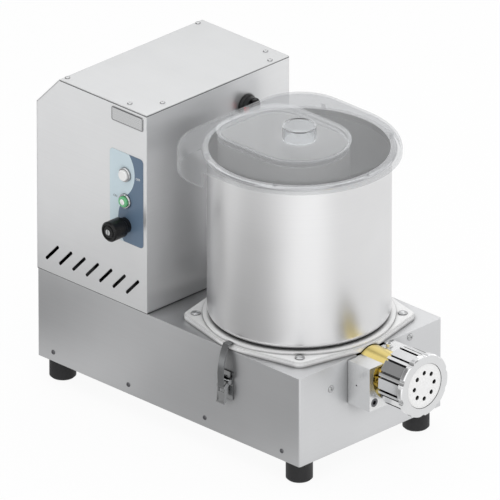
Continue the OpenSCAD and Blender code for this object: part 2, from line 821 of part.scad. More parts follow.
// Section of a pot with a rounded bottom, as a half outline
module pot_half_2d(r, round, low, high) {
  translate([0, low]) square([r - round, high - low]);
  translate([0, low + round]) square([r, high - low - round]);
  translate([r - round, low + round]) circle(round);
}

module feed_window(h) translate([-feed_w / 2, front_y - feed_front, 0])
  cube([feed_w, feed_front - feed_back, h]);

module pot() {
  color("silver") difference() {
    on_pot(ring_z) rotate_extrude() {
      difference() {
        pot_half_2d(pot_outer_r, pot_r, 0, pot_h);
        pot_half_2d(pot_inner_r, pot_r - pot_t, pot_t, pot_h + overrun);
      }
      translate([pot_inner_r, pot_h - pot_t]) square([bead_x - pot_inner_r, pot_t]);
      translate([bead_x, pot_h - bead_r]) circle(bead_r);
    }
    on_pot(ring_z) tube_cut(mixer_shaft_r + gap, pot_t);
    translate([0, 0, ring_z - overrun]) feed_window(pot_t + 2 * overrun);
  }
}

hub_r = mixer_shaft_d * 0.9;
hub_h = paddle_h;
rod_r = mixer_shaft_d / 3;
joint_r = rod_r * 1.25;
paddle_t = 3;
paddle_lean = 30;
// Height of each mixing arm's end above its root
arm_rises = [0, 46];
module mixer_arm(rise) {
  reach = [pot_inner_r - mixer_clear - paddle_h * 0.7, 0, rise];
  rotate([0, atan2(reach.x, reach.z), 0]) cylinder(r = rod_r, h = norm(reach));
  translate([reach.x, 0, reach.z]) rotate([paddle_lean, 0, 0]) {
    rotate([90, 0, 0]) linear_extrude(paddle_t, center = true)
      rounded_2d(paddle_h * 1.3, paddle_h * 0.8, paddle_h / 4);
    sphere(r = joint_r);
  }
}

module mixer() {
  color("lightgray") on_pot(0) {
    translate([0, 0, nose_z + shaft_r + mixer_shaft_gap + gap])
      cylinder(r = mixer_shaft_r, h = ring_z + pot_t + 2 * gap - nose_z - shaft_r - mixer_shaft_gap);
    translate([0, 0, ring_z + pot_t + gap]) rotate_extrude() {
      square([hub_r, hub_h]);
      translate([0, hub_h]) intersection() {
        circle(hub_r);
        square(2 * hub_r);
      }
    }
    translate([0, 0, ring_z + pot_t + gap + hub_h / 2])
      for (i = [0, 1]) rotate(90 + 180 * i) mixer_arm(arm_rises[i]);
  }
}

module drive_gearbox() {
  color("dimgray") difference() {
    union() {
      translate([-gearbox_w / 2, front_y - gearbox_front, nose_z - gearbox_down])
        cube([gearbox_w, gearbox_l, top_z - sheet_t - nose_z + gearbox_down]);
      on_pot(top_z - sheet_t - overrun) cylinder(r = boss_r, h = ring_z - top_z + sheet_t + overrun);
      on_nose(gearbox_front - gearbox_l - throat_wall) cylinder(r = bearing_r, h = gearbox_l);
    }
    on_nose(gearbox_front - gearbox_l - throat_wall - overrun)
      cylinder(r = shaft_r + running, h = gearbox_l + throat_wall + 2 * overrun);
    on_pot(nose_z + shaft_r + mixer_shaft_gap)
      cylinder(r = mixer_shaft_r + running, h = ring_z - nose_z);
  }
}

// Neck between the pot's floor and the window in the top of the barrel
module feed_throat() {
  color("silver") difference() {
    translate([-throat_w / 2, front_y - feed_front - throat_wall, nose_z + barrel_r / 2])
      cube([throat_w, feed_front - feed_back + 2 * throat_wall, ring_z - nose_z - barrel_r / 2]);
    on_nose(feed_back - 2 * throat_wall)
      cylinder(r = barrel_r + running, h = feed_front - feed_back + 4 * throat_wall);
    translate([0, 0, nose_z]) feed_window(ring_z);
  }
}

module front_block() {
  color("lightgray") difference() {
    translate([-block_w / 2, front_y - block_l, nose_z - block_down])
      cube([block_w, block_l, block_down + block_rise]);
    on_nose(-overrun) cylinder(r = barrel_r + running, h = block_l + 2 * overrun);
    on_nose(block_l - pocket_h) intersection() {
      cylinder(r = pocket_r, h = pocket_h + overrun);
      translate([-pocket_r, -pocket_r, 0])
        cube([pocket_d, pocket_r + block_rise - pocket_lid, pocket_h + overrun]);
    }
    for (x = [-1, 1]) on_nose(0) translate([x * block_bolt_x, -block_bolt_down]) {
      tube_cut(bolt_r + gap / 2, block_l);
      translate([0, 0, block_l - bolt_head_h]) cylinder(r = bolt_head_r + gap, h = bolt_head_h + overrun);
    }
    translate([clamp_x, front_y - clamp_in, nose_z + block_rise - clamp_h])
      cylinder(r = barrel_bolt_r + gap / 2, h = block_rise);
  }
}

// A socket head bolt whose head starts at zero and whose shank runs down
module socket_bolt(shank_r, shank_l, head_r, head_h) {
  difference() {
    union() {
      translate([0, 0, -shank_l]) cylinder(r = shank_r, h = shank_l);
      cylinder(r = head_r, h = head_h);
    }
    translate([0, 0, head_h / 2]) cylinder(r = head_r * 0.55, h = head_h, $fn = 6);
  }
}

module block_bolts() {
  color([0.3, 0.3, 0.3]) for (x = [-1, 1])
    on_nose(block_l - bolt_head_h) translate([x * block_bolt_x, -block_bolt_down])
      socket_bolt(bolt_r, block_l - bolt_head_h + 4 * sheet_t, bolt_head_r, bolt_head_h);
}

module barrel_bolts() {
  color("goldenrod") for (x = [-1, 1])
    on_nose(block_l - pocket_h + barrel_flange_t) translate([x * flange_bolt_x, 0])
      socket_bolt(barrel_bolt_r, barrel_flange_t, barrel_bolt_head_r, barrel_bolt_head_r);
}

// Short screw in the block's top that bears on the barrel's right side
module barrel_clamp() {
  color("goldenrod") translate([clamp_x, front_y - clamp_in, nose_z + block_rise])
    socket_bolt(barrel_bolt_r, clamp_h, barrel_bolt_head_r, barrel_bolt_head_r * 1.2);
}

module barrel() {
  color("goldenrod") difference() {
    union() {
      on_nose(barrel_rear) cylinder(r = barrel_r, h = barrel_reach - barrel_rear);
      on_nose(block_l - pocket_h) intersection() {
        cylinder(r = pocket_r - gap, h = barrel_flange_t);
        translate([-pocket_r, -pocket_r, 0])
          cube([pocket_d, pocket_r + block_rise - pocket_lid - gap, pocket_h]);
      }
    }
    on_nose(barrel_rear - overrun)
      cylinder(r = barrel_bore / 2, h = barrel_reach - barrel_rear + 2 * overrun);
    translate([0, 0, nose_z]) feed_window(barrel_d);
    for (x = [-1, 1]) on_nose(block_l - pocket_h) translate([x * flange_bolt_x, 0])
      tube_cut(barrel_bolt_r + gap / 2, barrel_flange_t);
  }
}

// One helical flight round the core, and the shaft that runs back to the worm gearbox
module auger() {
  turns = (screw_tip - screw_rear) / screw_pitch;
  color("silver") {
    on_nose(screw_rear) linear_extrude(screw_tip - screw_rear, twist = 360 * turns,
      slices = round(slices_per_turn * turns), segments = flight_points)
      polygon([
        for (a = flight_root_shares * flight_angle) (core_d / 2 - overrun) * [cos(a), sin(a)],
        for (a = flight_tip_shares * flight_angle) screw_r_outer * [cos(a), sin(a)]
      ]);
    on_nose(screw_rear) cylinder(r = core_d / 2, h = screw_tip - screw_rear);
    on_nose(-shaft_rear) cylinder(r = shaft_r, h = shaft_rear + screw_rear + overrun);
  }
}

module die() {
  color("white") difference() {
    union() {
      on_nose(die_rear) cylinder(r = die_d / 2, h = die_shoulder_t);
      on_nose(shoulder_front - overrun)
        cylinder(r = die_face_d / 2, h = die_front - shoulder_front + overrun);
    }
    for (i = [0 : die_count - 1]) on_nose(die_rear) rotate(360 * i / die_count)
      translate([0, die_circle_d / 2]) tube_cut(die_hole_d / 2, die_front - die_rear);
    // the screw's dough chamber behind the holes
    on_nose(die_rear - overrun) cylinder(r = barrel_bore / 2, h = die_shoulder_t / 2 + overrun);
  }
}

module flutes_2d(spread) {
  for (i = [0 : land_count - 1], side = [-1, 1]) rotate(360 * i / land_count + side * spread)
    translate([nut_d / 2 - flute_depth, -flute_w / 2]) square([flute_depth + overrun, flute_w]);
}

module ring_nut() {
  color("gainsboro") on_nose(nut_in) rotate(90 + nut_turn - 180 / land_count) difference() {
    union() {
      linear_extrude(nut_l - nut_rim_l) difference() {
        intersection() {
          circle(nut_d / 2);
          circle(nut_af / 2 / cos(180 / land_count), $fn = land_count);
        }
        flutes_2d(flute_spread);
      }
      translate([0, 0, nut_l - nut_rim_l]) difference() {
        rotate_extrude() polygon([
          [0, 0], [nut_rim_d / 2 - rim_bevel, 0], [nut_rim_d / 2, rim_bevel],
          [nut_rim_d / 2, nut_rim_l - rim_bevel], [nut_rim_d / 2 - rim_bevel, nut_rim_l], [0, nut_rim_l]
        ]);
        for (i = [0 : land_count - 1]) rotate(360 * i / land_count) translate([scallop_out, 0])
          tube_cut(scallop_r, nut_rim_l);
      }
    }
    tube_cut(barrel_r + gap, nut_l);
    translate([0, 0, barrel_reach - nut_in - gap]) cylinder(r = chamber_r, h = die_shoulder_t + 3 * gap);
    translate([0, 0, barrel_reach - nut_in + die_shoulder_t]) cylinder(r = die_face_d / 2 + gap, h = nut_l);
  }
}

module bearing_block() {
  color("dimgray") difference() {
    union() {
      on_nose(-bearing_in - bearing_l) cylinder(r = bearing_r, h = bearing_l);
      translate([-bearing_r * 0.8, front_y + bearing_in, stand_z])
        cube([bearing_r * 1.6, bearing_l, nose_z - stand_z]);
      translate([-bearing_r * 1.6, front_y + bearing_in - bearing_l / 4, stand_z])
        cube([bearing_r * 3.2, bearing_l * 1.5, stand_t * 2]);
    }
    on_nose(-bearing_in - bearing_l) tube_cut(shaft_r + running, bearing_l);
  }
}

module worm_gearbox() {
  color([0.45, 0.47, 0.5]) difference() {
    union() {
      translate([worm_x, motor_y - worm_box.y / 2, worm_z]) cube(worm_box);
      on_nose(front_y - motor_y - worm_box.y / 2 - throat_wall)
        cylinder(r = bearing_r * 1.3, h = worm_box.y + 2 * throat_wall);
    }
    on_nose(-shaft_rear - 2 * gap) cylinder(r = shaft_r + running, h = shaft_rear);
    translate([motor_x, motor_y, worm_top_z - worm_box.z / 4]) cylinder(r = motor_bore_r, h = worm_box.z);
  }
}

module gearbox_stand() {
  color("silver") {
    translate([worm_x, motor_y - worm_box.y / 2, worm_z - stand_t]) cube([worm_box.x, worm_box.y, stand_t]);
    for (x = [0, worm_box.x - stand_t])
      translate([worm_x + x, motor_y - worm_box.y / 2, stand_z])
        cube([stand_t, worm_box.y, worm_z - stand_t - stand_z + overrun]);
  }
}

module motor() {
  color([0.25, 0.35, 0.5]) translate([motor_x, motor_y]) difference() {
    union() {
      translate([0, 0, worm_top_z]) cylinder(r = motor_r * 0.55, h = motor_foot_t);
      translate([0, 0, motor_z]) cylinder(r = motor_r, h = motor_foot_t);
      translate([0, 0, motor_z]) linear_extrude(motor_h - motor_foot_t) {
        circle(motor_r - fin_h * 2);
        for (i = [0 : fin_count - 1]) rotate(360 * i / fin_count)
          translate([0, -fin_w / 2]) square([motor_r, fin_w]);
      }
      translate([0, 0, motor_top_z - motor_foot_t]) cylinder(r = motor_r, h = motor_foot_t);
    }
    translate([0, 0, worm_top_z - overrun])
      cylinder(r = motor_bore_r, h = motor_top_z - worm_top_z + 2 * overrun);
  }
}

module motor_rotor() {
  color("gray") translate([motor_x, motor_y]) {
    translate([0, 0, worm_top_z - worm_box.z / 5])
      cylinder(r = mixer_shaft_r, h = motor_top_z - worm_top_z + worm_box.z / 5 + fan_clear + fan_h);
    translate([0, 0, motor_top_z + fan_clear]) {
      cylinder(r = mixer_shaft_d, h = fan_h);
      cylinder(r = fan_r, h = fan_clear / 3);
      for (i = [0 : blade_count - 1]) rotate(360 * i / blade_count)
        translate([0, -fin_w / 2, 0]) cube([fan_r, fin_w, fan_h]);
    }
  }
}

module fan_cover() {
  color([0.2, 0.2, 0.2]) translate([motor_x, motor_y, motor_top_z]) difference() {
    cylinder(r = motor_r, h = cover_h);
    translate([0, 0, -overrun]) cylinder(r = motor_r - sheet_t * 1.5, h = cover_h - sheet_t + overrun);
    for (i = [-3 : 3]) translate([i * motor_r / 5, 0, cover_h - 2 * sheet_t]) linear_extrude(3 * sheet_t)
      link_2d([0, -motor_r / 2], [0, motor_r / 2], vent_w / 2);
  }
}

// Motor capacitor on the base's top, and the contactor on the rear panel
capacitor_r = 20;
capacitor_h = 84;
module capacitor() {
  color([0.85, 0.85, 0.82]) translate([-side_x / 2, back_y - column_l / 3.2, top_z]) {
    cylinder(r = capacitor_r, h = capacitor_h);
    translate([0, 0, capacitor_h]) cylinder(r = capacitor_r * 0.8, h = capacitor_r / 3);
  }
}

contactor_box = [64, 40, 86];
module contactor() {
  color([0.88, 0.88, 0.86])
    translate([-side_x * 0.55, back_y - sheet_t - contactor_box.y, roof_z - column_h * 0.45]) {
      cube(contactor_box);
      translate([contactor_box.x / 8, -contactor_box.y / 5, contactor_box.z / 4])
        cube([contactor_box.x * 0.75, contactor_box.y / 5 + overrun, contactor_box.z / 2]);
    }
}

// Half a section with a rounded top corner, from its own axis out to x
module edge_half_2d(x, edge, top, low) {
  translate([0, low]) square([x - edge, top - low]);
  translate([0, low]) square([x, top - edge - low]);
  translate([x - edge, top - edge]) circle(edge);
}

// The lid's form with its rounded top edge, drawn in all round by inset
module lid_form(inset, low) {
  r = lid_r - inset;
  back = lid_back - inset;
  corner = lid_corner - inset;
  edge = lid_edge_r - inset;
  rotate(180) rotate_extrude(angle = 180) edge_half_2d(r, edge, -inset, low);
  translate([0, back - corner]) rotate([90, 0, 0]) linear_extrude(back - corner) {
    edge_half_2d(r, edge, -inset, low);
    mirror([1, 0]) edge_half_2d(r, edge, -inset, low);
  }
  across(2 * (r - corner)) edge_half_2d(back, edge, -inset, low);
  for (x = [-1, 1]) translate([x * (r - corner), back - corner])
    rotate_extrude() edge_half_2d(corner, edge, -inset, low);
}

module lid() {
  color([0.85, 0.9, 0.92, 0.35]) on_pot(lid_z) {
    difference() {
      lid_form(0, -ear_h);
      lid_form(clear_t, -ear_h - overrun);
      // the skirt is short round the front and deep only at the rear ears
      translate([-lid_r - overrun, -lid_r - overrun, -ear_h - overrun])
        cube([2 * (lid_r + overrun), lid_r + overrun + ear_in, ear_h + overrun - skirt_h]);
      translate([0, 0, -clear_t - overrun]) linear_extrude(clear_t + 2 * overrun)
        d_2d(chute_r - chute_t, chute_back - chute_t, chute_corner - chute_t);
    }
    // rib that carries the chute
    translate([0, 0, -lid_up]) linear_extrude(lid_up - clear_t + gap) difference() {
      d_2d(chute_r, chute_back, chute_corner);
      d_2d(chute_r - chute_t, chute_back - chute_t, chute_corner - chute_t);
    }
    // rests that stand on the pot's rim
    for (i = [0 : rest_count - 1]) rotate(360 * (i + 0.5) / rest_count) translate([bead_x, 0, -lid_up + gap])
      cylinder(r = rest_w / 3, h = lid_up - clear_t);
  }
}

module chute() {
  color("silver") on_pot(rim_z - chute_h) linear_extrude(chute_h) difference() {
    d_2d(chute_r, chute_back, chute_corner);
    d_2d(chute_r - chute_t, chute_back - chute_t, chute_corner - chute_t);
  }
}

module hatch() {
  lip_in = chute_t + hatch_gap;
  color([0.85, 0.9, 0.92, 0.35]) on_pot(lid_z + gap) {
    linear_extrude(clear_t) d_2d(chute_r + hatch_lap, chute_back + hatch_lap, chute_corner + hatch_lap);
    translate([0, 0, -hatch_lip_h]) linear_extrude(hatch_lip_h + gap) difference() {
      d_2d(chute_r - lip_in, chute_back - lip_in, chute_corner - lip_in);
      d_2d(chute_r - lip_in - clear_t, chute_back - lip_in - clear_t, chute_corner - lip_in - clear_t);
    }
  }
}

module hatch_knob() {
  color([0.85, 0.9, 0.92, 0.35]) on_pot(lid_z + gap + clear_t) rotate_extrude() difference() {
    square([hatch_knob_d / 2, hatch_knob_h]);
    translate([0, -overrun]) square([hatch_knob_d / 2 - clear_t, hatch_knob_h - clear_t + overrun]);
  }
}

// Fixed plate with two ears and the lever's pin
module latch_plate(side) {
  color("silver") latch_frame(side) {
    translate([0, latch_y - lever_l, -latch_plate_w / 2])
      cube([latch_t, lever_l + 4 * cheek_r, latch_plate_w]);
    for (z = [-ear_out - latch_t, ear_out]) translate([0, 0, z]) linear_extrude(latch_t) {
      translate([pivot_out, latch_y]) circle(cheek_r);
      translate([0, latch_y - cheek_r]) square([pivot_out, 2 * cheek_r]);
    }
    translate([pivot_out, latch_y, -ear_out - overrun]) cylinder(r = pivot_r, h = 2 * (ear_out + overrun));
  }
}

// Lever: two cheeks on the pin, joined by the pull and by the claw's pin
module latch_lever(side) {
  handle = [pivot_out + claw_pivot_out + latch_t, latch_y - lever_l];
  color("gainsboro") latch_frame(side) difference() {
    union() {
      for (z = [-cheek_in - latch_t, cheek_in]) translate([0, 0, z]) linear_extrude(latch_t) {
        link_2d([pivot_out, latch_y], [claw_x, claw_y], cheek_r);
        link_2d([claw_x, claw_y], handle, latch_t);
      }
      translate([claw_x, claw_y, -cheek_in - overrun]) cylinder(r = claw_pin_r, h = 2 * (cheek_in + overrun));
      linear_extrude(2 * (cheek_in + latch_t), center = true) {
        link_2d([handle.x, claw_y - cheek_r - latch_t - eye_r], handle, latch_t / 2);
        link_2d(handle, handle + [latch_t, -latch_t * 1.5], latch_t / 2);
      }
    }
    translate([pivot_out, latch_y, -latch_plate_w]) cylinder(r = pivot_r + running, h = 2 * latch_plate_w);
  }
}

// Claw: an eye on the lever's second pin, a strap bowed outwards and a lip over the flange
module latch_claw(side) {
  foot = [claw_x + claw_pin_r, claw_y];
  head = [hook_x, hook_y];
  chord = norm(head - foot);
  bow_r = chord * chord / (8 * claw_sag) + claw_sag / 2;
  out = [(head - foot).y, -(head - foot).x] / chord;
  middle = (foot + head) / 2 - (bow_r - claw_sag) * out;
  color([0.75, 0.76, 0.78]) latch_frame(side) linear_extrude(claw_w, center = true) difference() {
    union() {
      translate([claw_x, claw_y]) circle(eye_r);
      intersection() {
        translate(middle) difference() {
          circle(bow_r + latch_t / 2, $fn = 180);
          circle(bow_r - latch_t / 2, $fn = 180);
        }
        polygon([
          middle, middle + 2 * (foot - middle), middle + 2 * bow_r * out, middle + 2 * (head - middle)
        ]);
      }
      link_2d(head, [hook_end, hook_y], latch_t / 2);
    }
    translate([claw_x, claw_y]) circle(claw_pin_r + running);
  }
}

module latch_plate_left() latch_plate(-1);
module latch_lever_left() latch_lever(-1);
module latch_claw_left() latch_claw(-1);
module latch_plate_right() latch_plate(1);
module latch_lever_right() latch_lever(1);
module latch_claw_right() latch_claw(1);

base_housing();
bottom_plate();
foot_front_left();
foot_front_right();
foot_rear_left();
foot_rear_right();
column_housing();
column_roof();
rear_panel();
cable_gland();
label_light();
label_dark();
nameplate();
off_bezel();
on_bezel();
off_button();
on_button();
knob();
knob_insert();
switch_box();
selector_collar();
selector_mark();
selector_cap();
pot_flange();
flange_screws();
pot();
mixer();
drive_gearbox();
feed_throat();
front_block();
block_bolts();
barrel();
barrel_bolts();
barrel_clamp();
auger();
die();
ring_nut();
bearing_block();
worm_gearbox();
gearbox_stand();
motor();
motor_rotor();
fan_cover();
capacitor();
contactor();
lid();
chute();
hatch();
hatch_knob();
latch_plate_left();
latch_lever_left();
latch_claw_left();
latch_plate_right();
latch_lever_right();
latch_claw_right();
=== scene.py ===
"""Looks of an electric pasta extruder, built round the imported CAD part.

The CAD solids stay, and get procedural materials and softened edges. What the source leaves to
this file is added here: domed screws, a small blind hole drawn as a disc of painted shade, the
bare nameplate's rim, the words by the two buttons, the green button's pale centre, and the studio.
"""

import json
import math

import bmesh
import bpy
from mathutils import Matrix, Vector


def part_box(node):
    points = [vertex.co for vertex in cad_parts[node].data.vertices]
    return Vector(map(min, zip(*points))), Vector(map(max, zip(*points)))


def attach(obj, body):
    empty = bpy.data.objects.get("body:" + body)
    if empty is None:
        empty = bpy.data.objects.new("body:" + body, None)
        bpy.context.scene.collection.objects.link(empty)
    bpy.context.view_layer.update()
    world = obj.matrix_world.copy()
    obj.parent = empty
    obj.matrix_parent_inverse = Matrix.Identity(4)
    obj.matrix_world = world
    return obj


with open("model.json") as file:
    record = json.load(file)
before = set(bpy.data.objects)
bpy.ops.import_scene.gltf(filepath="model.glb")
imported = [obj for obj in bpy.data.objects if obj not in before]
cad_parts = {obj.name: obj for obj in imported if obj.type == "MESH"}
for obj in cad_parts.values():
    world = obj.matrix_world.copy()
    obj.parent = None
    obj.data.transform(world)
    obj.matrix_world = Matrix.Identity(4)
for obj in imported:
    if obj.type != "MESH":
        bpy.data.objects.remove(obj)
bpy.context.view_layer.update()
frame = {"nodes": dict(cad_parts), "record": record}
nodes = frame["nodes"]
MM = 0.001


# Node trees

NOISE_RANGE = (0.3, 0.7)    # nearly all of a noise's values lie here


def tree(owner):
    """A material's or world's node tree, emptied."""
    owner.use_nodes = True
    owner.node_tree.nodes.clear()
    return owner.node_tree


def put(nt, socket, value):
    """Links an output to a socket, or sets the socket's own value."""
    if isinstance(value, bpy.types.NodeSocket):
        nt.links.new(value, socket)
    else:
        socket.default_value = value


def add(nt, kind, **sockets):
    """A node of that kind. Values go on its inputs by name, with _ for a space."""
    node = nt.nodes.new(kind)
    for name, value in sockets.items():
        put(nt, node.inputs[name.replace("_", " ")], value)
    return node


def in_order(nt, kind, values, operation=None):
    """A node of that kind, with values on its inputs from the first on."""
    node = nt.nodes.new(kind)
    if operation:
        node.operation = operation
    for socket, value in zip(node.inputs, values):
        put(nt, socket, value)
    return node


def maths(nt, operation, *values):
    return in_order(nt, "ShaderNodeMath", values, operation).outputs[0]


def vectors(nt, operation, *values):
    """A vector, or a number where the operation gives one."""
    node = in_order(nt, "ShaderNodeVectorMath", values, operation)
    return node.outputs["Value" if operation in ("DOT_PRODUCT", "LENGTH") else "Vector"]


def coordinates(nt, kind="Object"):
    return nt.nodes.new("ShaderNodeTexCoord").outputs[kind]


def part_of(nt, vector, axis):
    return add(nt, "ShaderNodeSeparateXYZ", Vector=vector).outputs[axis]


def ramp(nt, source, low, high, to_low, to_high, course="LINEAR"):
    node = add(nt, "ShaderNodeMapRange", Value=source, From_Min=low, From_Max=high,
               To_Min=to_low, To_Max=to_high)
    node.interpolation_type = course
    return node.outputs["Result"]


def noise(nt, scale, detail=3.0, rough=0.6):
    """Noise in the object's frame, in features per metre, alike all ways or along each axis."""
    stretched = add(nt, "ShaderNodeMapping", Vector=coordinates(nt),
                    Scale=scale if isinstance(scale, tuple) else (scale,) * 3)
    return add(nt, "ShaderNodeTexNoise", Scale=1.0, Detail=detail, Roughness=rough,
               Vector=stretched.outputs["Vector"]).outputs["Fac"]


def varied(nt, source, low, high):
    """Noise spread from low to high."""
    return ramp(nt, source, *NOISE_RANGE, low, high)


def mixed(nt, factor, a, b):
    """Colour a where the factor is 0, and b where it is 1."""
    node = add(nt, "ShaderNodeMix", Factor=factor)
    node.data_type = "RGBA"
    colour_a, colour_b = node.inputs[6], node.inputs[7]
    for socket, value in ((colour_a, a), (colour_b, b)):
        put(nt, socket, value if isinstance(value, bpy.types.NodeSocket) else (*value, 1))
    return node.outputs[2]


def joined(nt, factor, a, b):
    """Shader a where the factor is 0, and b where it is 1."""
    return in_order(nt, "ShaderNodeMixShader", (factor, a, b)).outputs[0]


def rounded_normal(nt, radius, samples):
    """The surface's normal, turned softly over its edges, within that many mm."""
    node = add(nt, "ShaderNodeBevel", Radius=radius * MM)
    node.samples = samples
    return node.outputs[0]


def times(colour, share):
    return tuple(c * share for c in colour)


# Materials

SWING = 0.2               # how far from its colour a finish can come at most, as a share
PATCHES = 9.0             # marks of handling, per metre
PATCH_SPREAD = 0.02       # how much they change the tone
SHADE_AND_SEAM_SHARE = 0.06         # painted shade: share of its colour that a face inside a closed housing keeps; seams take it too
UNDER_COVER_SHADE = 0.03        # painted shade: and a face under another housing
COVER_EDGE = 0.2          # mm in which that starts
LOOKS_UP = (0.8, 0.9)     # upward part of a normal: not a covered face below it, one above it
SEAM_HALF_WIDTH = 0.55    # mm
OPEN_AIR = (0.35, 0.9)    # ambient occlusion where painted shade in a recess is full, and where there is none
RECESS_SAMPLES = 8
EDGE_SAMPLES = 6
POLISHED_SHARE = 0.45     # of the roughness, above a given height
COAT_ROUGHNESS = 0.08

finishes = {}


def start(name):
    """A new finish, kept by its name, and its empty node tree."""
    finishes[name] = bpy.data.materials.new(name)
    return tree(finishes[name])


def end(nt, shader):
    add(nt, "ShaderNodeOutputMaterial", Surface=shader)


def painted_shade_and_seams(nt, shown, colour, hollow, covered, seams):
    """Painted shade on faces inside closed housings and on faces under another housing, and dark
    seams at joints between sheets; see finish.
    """
    # painted shade: faces turned towards the middle of a closed housing, where no light reaches
    if hollow:
        outward = vectors(nt, "DOT_PRODUCT",
                          vectors(nt, "SUBTRACT", coordinates(nt), Vector(hollow) * MM),
                          coordinates(nt, "Normal"))
        shown = mixed(nt, ramp(nt, outward, -MM, MM, 0, 1), times(colour, SHADE_AND_SEAM_SHARE), shown)
    # painted shade: faces that look up from behind the covered y, under another housing
    if covered is not None:
        behind = ramp(nt, part_of(nt, coordinates(nt), "Y"), covered * MM,
                      (covered + COVER_EDGE) * MM, 0, 1)
        level = ramp(nt, part_of(nt, coordinates(nt, "Normal"), "Z"), *LOOKS_UP, 0, 1)
        shown = mixed(nt, maths(nt, "MULTIPLY", behind, level), shown, times(colour, UNDER_COVER_SHADE))
    for seam in seams:
        on_seam = maths(nt, "COMPARE", part_of(nt, coordinates(nt), "Z"), seam * MM,
                        SEAM_HALF_WIDTH * MM)
        shown = mixed(nt, on_seam, shown, times(colour, SHADE_AND_SEAM_SHARE))
    return shown


def finish(name, colour, rough, metallic, grain, depth, spread=0.06, rough_spread=0.08, coat=0.0,
           specular=0.5, edge=0.0, recess=0.0, recess_shade_tone=0.3, hollow=None, covered=None, seams=(),
           polished_above=None):
    """A principled finish whose colour, gloss and relief all vary: grain at the scale of the tool
    marks or moulding, that many mm deep, and patches at the scale of handling. All lengths are in
    mm. An edge rounds the shading of folds and cuts that far, and recesses up to that deep get
    painted shade, from ambient occlusion, down to the recess shade tone. Faces turned towards the
    middle of a hollow body get painted shade, as dark as the unlit inside of a closed housing, and
    so do faces that look up from behind a covered y; seams at the heights of joint lines are dark.
    Above a height the metal can be polished and even."""
    nt = start(name)
    fine = noise(nt, grain)
    wide = noise(nt, PATCHES, 2.0, 0.5)
    shade = maths(nt, "ADD", varied(nt, fine, -spread, spread),
                  varied(nt, wide, -PATCH_SPREAD, PATCH_SPREAD))
    shown = mixed(nt, ramp(nt, shade, -SWING, SWING, 0, 1), times(colour, 1 - SWING),
                  tuple(min(c * (1 + SWING), 1.0) for c in colour))
    shown = painted_shade_and_seams(nt, shown, colour, hollow, covered, seams)
    gloss = maths(nt, "ADD", varied(nt, fine, rough - rough_spread / 2, rough + rough_spread / 2),
                  varied(nt, wide, -rough_spread / 2, rough_spread / 2))
    if polished_above is not None:
        upper = ramp(nt, part_of(nt, coordinates(nt), "Z"), (polished_above - 0.5) * MM,
                     (polished_above + 0.5) * MM, 0, 1)
        shown = mixed(nt, upper, shown, colour)
        gloss = maths(nt, "MULTIPLY", gloss, ramp(nt, upper, 0, 1, 1, POLISHED_SHARE))
    # painted shade in recesses and between parts, from ambient occlusion
    if recess:
        open_air = add(nt, "ShaderNodeAmbientOcclusion", Distance=recess * MM)
        open_air.samples = RECESS_SAMPLES
        shown = mixed(nt, ramp(nt, open_air.outputs["AO"], *OPEN_AIR, 0, 1),
                      times(colour, recess_shade_tone), shown)
    relief = add(nt, "ShaderNodeBump", Strength=1.0, Distance=depth * MM, Height=fine)
    if edge:
        put(nt, relief.inputs["Normal"], rounded_normal(nt, edge, EDGE_SAMPLES))
    shader = add(nt, "ShaderNodeBsdfPrincipled", Base_Color=shown, Roughness=gloss,
                 Normal=relief.outputs["Normal"], Metallic=metallic, Coat_Weight=coat,
                 Coat_Roughness=COAT_ROUGHNESS, Specular_IOR_Level=specular)
    end(nt, shader.outputs[0])


def lets_light_in(nt, shader, through=(1, 1, 1, 1)):
    """Lets the lamps' light through a clear piece, which would otherwise cast a full shadow."""
    path = nt.nodes.new("ShaderNodeLightPath")
    lit = add(nt, "ShaderNodeBsdfTransparent", Color=through)
    return joined(nt, path.outputs["Is Shadow Ray"], shader, lit.outputs[0])


def clear(name, haze, edge, through=(0.97, 0.975, 0.98)):
    """A thin clear moulding: light goes through, with some haze, and more gloss where it is seen
    edge on. Along its own edges the pale skin shows more, as a painted highlight."""
    colour, waves, grit = (0.90, 0.91, 0.92), 25, 260    # the last two per metre
    edge_width, edge_highlight_share = 1.2, 0.6    # mm over which the edges get a painted highlight, and its share of the gloss that is seen edge on
    middle, corner = 0.97, 0.8           # how level the rounded normal is on a face, and its edge
    slant_power = 5.0                    # the gloss keeps to faces that are seen edge on
    nt = start(name)
    wide = noise(nt, waves, 2.0, 0.5)
    fine = noise(nt, grit, 2.0, 0.5)
    relief = add(nt, "ShaderNodeBump", Distance=0.05 * MM, Height=wide)
    skin = add(nt, "ShaderNodeBsdfPrincipled", Roughness=varied(nt, fine, 0.06, 0.12),
               Base_Color=mixed(nt, wide, times(colour, 0.96), colour),
               Normal=relief.outputs["Normal"])
    gap = add(nt, "ShaderNodeBsdfTransparent", Color=(*through, 1))
    slant = add(nt, "ShaderNodeLayerWeight", Blend=0.5)
    edge_on = maths(nt, "POWER", slant.outputs["Facing"], slant_power)
    # painted highlight: more of the pale skin along the moulding's edges, where the rounded normal
    # turns from the facet
    facet = nt.nodes.new("ShaderNodeNewGeometry").outputs["Normal"]
    level = vectors(nt, "DOT_PRODUCT", rounded_normal(nt, edge_width, 4), facet)
    gloss_and_painted_edges = maths(nt, "MAXIMUM", ramp(nt, edge_on, 0, 1, haze, edge),
                  ramp(nt, level, middle, corner, 0, edge * edge_highlight_share))
    plate = joined(nt, gloss_and_painted_edges, gap.outputs[0], skin.outputs[0])
    end(nt, lets_light_in(nt, plate, (0.95, 0.95, 0.95, 1)))


